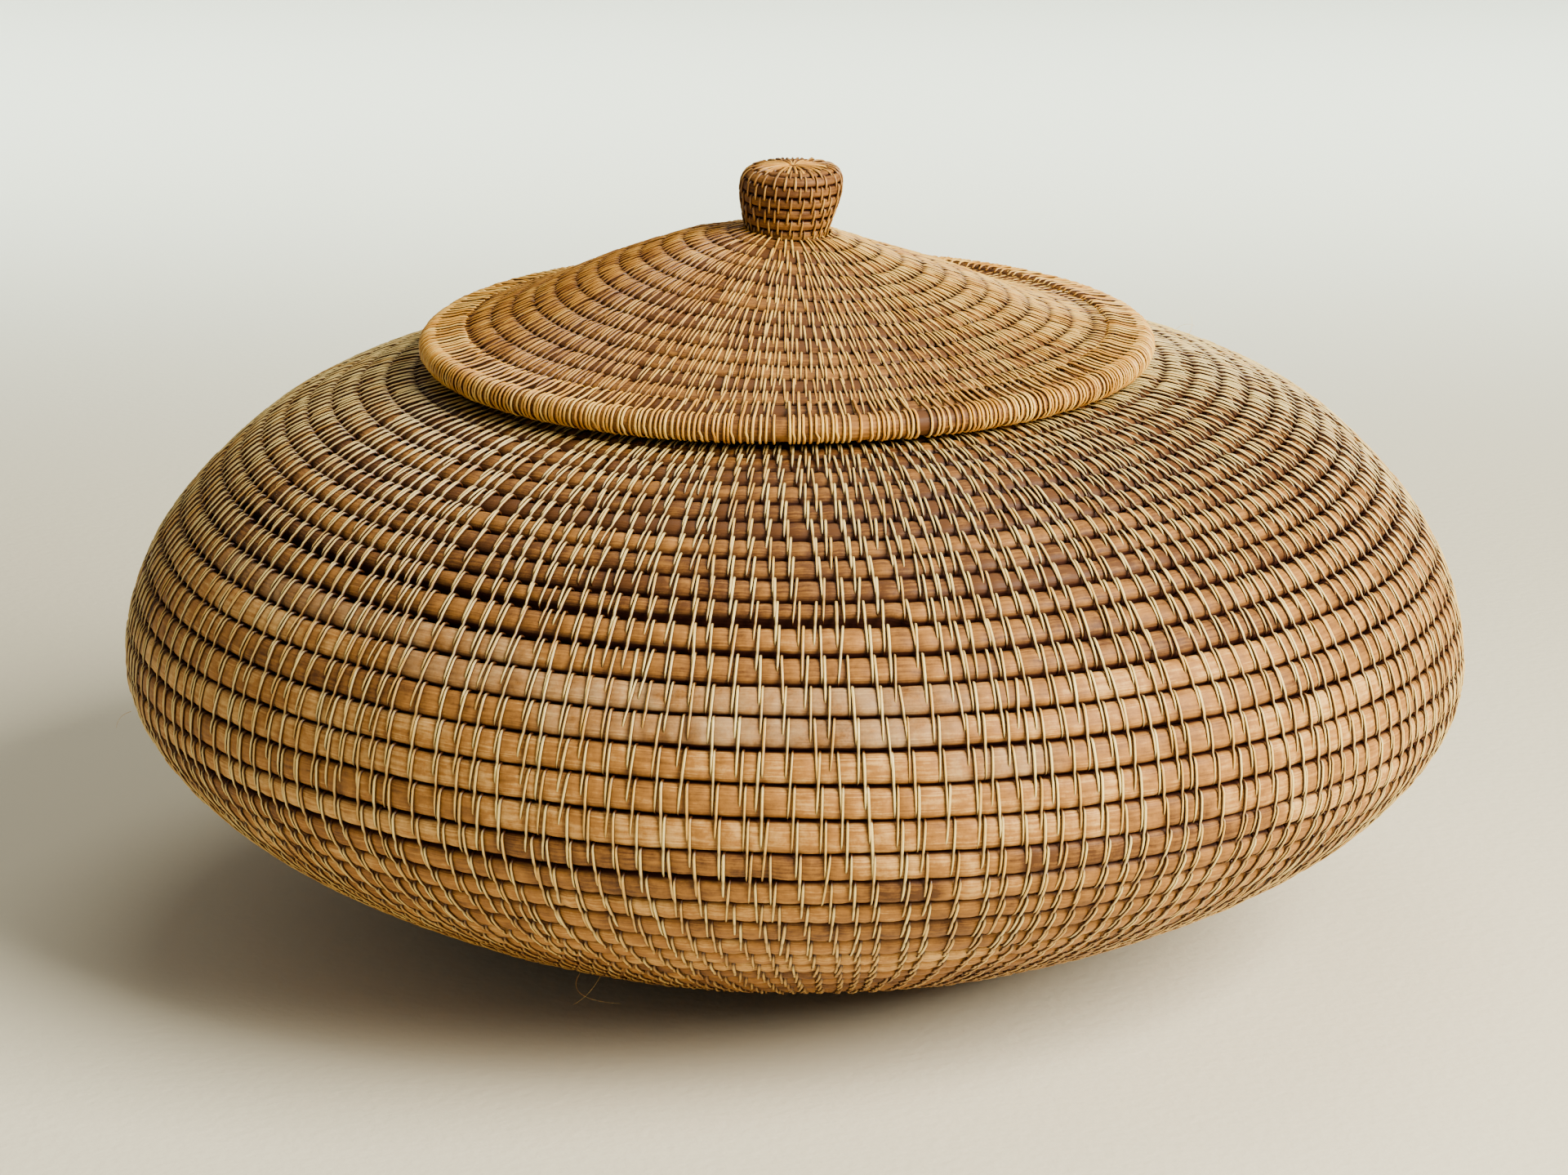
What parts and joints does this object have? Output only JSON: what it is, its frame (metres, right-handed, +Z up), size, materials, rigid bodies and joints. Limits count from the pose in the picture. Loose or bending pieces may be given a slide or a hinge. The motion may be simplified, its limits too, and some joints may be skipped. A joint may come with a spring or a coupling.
{
  "type": "lidded basket",
  "caption": "Squat round coiled-cane basket with a saucer-shaped lid, a thick bound lid rim and a small coiled knob; the lid lifts off.",
  "frame": {"origin": "centre of the face that the basket stands on", "axes": "+Z up along the axis that the coil goes round, +X to the right and -Y towards the viewer in the reference view"},
  "size_m": [0.4152, 0.4152, 0.2386],
  "materials": {
    "basket_cane": "satin natural cane, honey to smoked brown",
    "lid_cane": "satin natural cane, straw to honey",
    "binding_strip": "smooth split cane, pale straw"
  },
  "bodies": {
    "basket": {"floor_start_coil": "basket_cane", "floor_outer_coil": "basket_cane", "wall_length_01": "basket_cane", "wall_length_02": "basket_cane", "wall_length_03": "basket_cane", "wall_length_04": "basket_cane", "wall_length_05": "basket_cane", "wall_length_06": "basket_cane", "wall_length_07": "basket_cane", "wall_length_08": "basket_cane", "wall_length_09": "basket_cane", "wall_length_10": "basket_cane", "wall_length_11": "basket_cane", "wall_length_12": "basket_cane", "mouth_rim": "binding_strip"},
    "lid": {"lid_rim_core": "lid_cane", "lid_rim_wrap": "binding_strip", "lid_length_1": "lid_cane", "lid_length_2": "lid_cane", "lid_length_3": "lid_cane", "lid_length_4": "lid_cane", "lid_inner_ring": "basket_cane", "knob_side_coil": "lid_cane", "knob_shoulder_coil": "lid_cane", "knob_top_coil": "lid_cane"}
  },
  "joints": [
    {"name": "lid_lift", "type": "slide", "parent": "basket", "child": "lid", "axis": [0, 0, 1], "range_m": [0, 0.2]}
  ]
}
